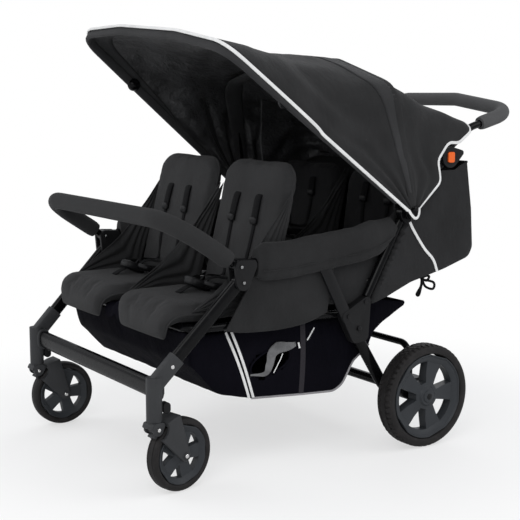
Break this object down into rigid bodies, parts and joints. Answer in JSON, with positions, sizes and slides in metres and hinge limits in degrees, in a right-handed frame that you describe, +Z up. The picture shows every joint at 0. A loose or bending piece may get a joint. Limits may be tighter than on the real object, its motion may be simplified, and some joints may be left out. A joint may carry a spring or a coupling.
{
  "type": "four-seat stroller",
  "caption": "Pram with two rows of paired seats, folding hood, push handle, bumper bar, under-seat basket, sprung front casters and treaded rear wheels.",
  "frame": {"origin": "on the floor, under the middle of the outline seen from above", "axes": "+Z up, the front faces -Y and the push handle is at +Y, the stroller's own left is +X"},
  "size_m": [0.774, 1.1171, 1.049],
  "materials": {
    "black_tube": "gloss black powder coat on tube",
    "grey_plastic": "fine-grained dark grey moulding",
    "black_plastic": "fine-grained black moulding",
    "rim_plastic": "satin grey moulding",
    "tyre_rubber": "matte black, treaded",
    "button_plastic": "orange moulding",
    "bar_foam": "black closed-cell foam sleeve",
    "grip_foam": "dark grey closed-cell foam sleeve",
    "seat_fabric": "charcoal woven polyester with pale piping",
    "basket_fabric": "thin black woven polyester",
    "harness_web": "black ribbed webbing"
  },
  "bodies": {
    "frame": {"left_fold_plate": "black_plastic", "right_fold_plate": "black_plastic", "left_pusher_tube": "black_tube", "right_pusher_tube": "black_tube", "left_side_rail": "black_tube", "right_side_rail": "black_tube", "left_arm_joint": "black_plastic", "right_arm_joint": "black_plastic", "left_handle_hinge": "black_plastic", "right_handle_hinge": "black_plastic", "seat_tube": "black_tube", "cross_tube": "black_tube", "left_front_cushion": "seat_fabric", "right_front_cushion": "seat_fabric", "left_rear_cushion": "seat_fabric", "right_rear_cushion": "seat_fabric", "left_harness": "harness_web", "right_harness": "harness_web", "left_side_cover": "seat_fabric", "right_side_cover": "seat_fabric", "rear_tub": "seat_fabric", "basket": "basket_fabric", "hood_front_panel": "seat_fabric", "hood_rear_panel": "seat_fabric"},
    "front_legs": {"left_front_leg": "black_tube", "right_front_leg": "black_tube", "left_caster_housing": "grey_plastic", "right_caster_housing": "grey_plastic", "left_swivel_lock": "black_plastic", "right_swivel_lock": "black_plastic", "front_axle_tube": "black_tube"},
    "rear_legs": {"left_rear_leg": "black_tube", "right_rear_leg": "black_tube", "rear_axle": "black_tube", "rear_stay": "black_tube"},
    "handle": {"handle_tube": "black_tube", "handle_grip": "grip_foam"},
    "bumper": {"bumper_tube": "black_tube", "bumper_foam": "bar_foam"},
    "hood_front": {"hood_front_bow": "black_tube"},
    "hood_mid": {"hood_mid_bow": "black_tube"},
    "brake": {"brake_pedal": "black_plastic"},
    "left_caster": {"left_caster_fork": "grey_plastic"},
    "left_arm": {"left_caster_arm": "grey_plastic"},
    "left_front_wheel": {"left_front_rim": "rim_plastic", "left_front_tyre": "tyre_rubber"},
    "left_rear_wheel": {"left_rear_rim": "rim_plastic", "left_rear_tyre": "tyre_rubber"},
    "left_button": {"left_handle_button": "button_plastic"},
    "left_front_recline": {"left_front_back": "seat_fabric"},
    "left_rear_recline": {"left_rear_back": "seat_fabric"},
    "right_caster": {"right_caster_fork": "grey_plastic"},
    "right_arm": {"right_caster_arm": "grey_plastic"},
    "right_front_wheel": {"right_front_rim": "rim_plastic", "right_front_tyre": "tyre_rubber"},
    "right_rear_wheel": {"right_rear_rim": "rim_plastic", "right_rear_tyre": "tyre_rubber"},
    "right_button": {"right_handle_button": "button_plastic"},
    "right_front_recline": {"right_front_back": "seat_fabric"},
    "right_rear_recline": {"right_rear_back": "seat_fabric"}
  },
  "joints": [
    {"name": "fold", "type": "hinge", "parent": "frame", "child": "rear_legs", "pos_m": [0, 0.00986, 0.32], "axis": [1, 0, 0], "range_deg": [0, 35]},
    {"name": "front_fold", "type": "hinge", "parent": "frame", "child": "front_legs", "pos_m": [0, -0.32414, 0.462], "axis": [1, 0, 0], "range_deg": [-40, 0]},
    {"name": "hood", "type": "hinge", "parent": "frame", "child": "hood_mid", "pos_m": [0, 0.14986, 0.589], "axis": [1, 0, 0], "range_deg": [-44, 0], "deforming": ["hood_front_panel", "hood_rear_panel"]},
    {"name": "hood_front_turn", "type": "hinge", "parent": "hood_mid", "child": "hood_front", "pos_m": [0, 0.14986, 0.589], "axis": [1, 0, 0], "range_deg": [-44, 0]},
    {"name": "handle_fold", "type": "hinge", "parent": "frame", "child": "handle", "pos_m": [0, 0.28786, 0.722], "axis": [1, 0, 0], "range_deg": [-35, 5]},
    {"name": "bumper_swing", "type": "hinge", "parent": "frame", "child": "bumper", "pos_m": [0, -0.33014, 0.498], "axis": [1, 0, 0], "range_deg": [-60, 0]},
    {"name": "brake_press", "type": "hinge", "parent": "rear_legs", "child": "brake", "pos_m": [0, 0.20736, 0.13], "axis": [1, 0, 0], "range_deg": [-20, 0]},
    {"name": "left_swivel", "type": "hinge", "parent": "front_legs", "child": "left_caster", "pos_m": [0.326, -0.53564, 0.2], "axis": [0, 0, 1], "continuous": true},
    {"name": "left_suspension", "type": "hinge", "parent": "left_caster", "child": "left_arm", "pos_m": [0.32638, -0.53761, 0.155], "axis": [0.9823, 0.1874, 0], "range_deg": [0, 8], "stiffness_Nm_per_rad": 60, "springref_deg": -8.59},
    {"name": "left_front_spin", "type": "hinge", "parent": "left_arm", "child": "left_front_wheel", "pos_m": [0.31307, -0.46787, 0.0835], "axis": [0.9823, 0.1874, 0], "continuous": true},
    {"name": "left_rear_spin", "type": "hinge", "parent": "rear_legs", "child": "left_rear_wheel", "pos_m": [0.36, 0.20736, 0.13], "axis": [1, 0, 0], "continuous": true},
    {"name": "left_button_press", "type": "slide", "parent": "frame", "child": "left_button", "axis": [-1, 0, 0], "range_m": [0, 0.0035], "stiffness_N_per_m": 600, "springref_m": -0.003},
    {"name": "left_front_tilt", "type": "hinge", "parent": "frame", "child": "left_front_recline", "pos_m": [0, -0.22354, 0.3941], "axis": [1, 0, 0], "range_deg": [-15, 0]},
    {"name": "left_rear_tilt", "type": "hinge", "parent": "frame", "child": "left_rear_recline", "pos_m": [0, 0.20846, 0.4626], "axis": [1, 0, 0], "range_deg": [-10, 0]},
    {"name": "right_swivel", "type": "hinge", "parent": "front_legs", "child": "right_caster", "pos_m": [-0.326, -0.53564, 0.2], "axis": [0, 0, 1], "continuous": true},
    {"name": "right_suspension", "type": "hinge", "parent": "right_caster", "child": "right_arm", "pos_m": [-0.326, -0.53764, 0.155], "axis": [1, 0, 0], "range_deg": [0, 8], "stiffness_Nm_per_rad": 60, "springref_deg": -8.59},
    {"name": "right_front_spin", "type": "hinge", "parent": "right_arm", "child": "right_front_wheel", "pos_m": [-0.326, -0.46664, 0.0835], "axis": [1, 0, 0], "continuous": true},
    {"name": "right_rear_spin", "type": "hinge", "parent": "rear_legs", "child": "right_rear_wheel", "pos_m": [-0.36, 0.20736, 0.13], "axis": [1, 0, 0], "continuous": true},
    {"name": "right_button_press", "type": "slide", "parent": "frame", "child": "right_button", "axis": [1, 0, 0], "range_m": [0, 0.0035], "stiffness_N_per_m": 600, "springref_m": -0.003},
    {"name": "right_front_tilt", "type": "hinge", "parent": "frame", "child": "right_front_recline", "pos_m": [0, -0.22354, 0.3941], "axis": [1, 0, 0], "range_deg": [-15, 0]},
    {"name": "right_rear_tilt", "type": "hinge", "parent": "frame", "child": "right_rear_recline", "pos_m": [0, 0.20846, 0.4626], "axis": [1, 0, 0], "range_deg": [-10, 0]}
  ],
  "couplings": [
    {"joint": "front_fold", "follows": "fold", "ratio": -1.1429},
    {"joint": "hood_front_turn", "follows": "hood", "ratio": 1}
  ]
}
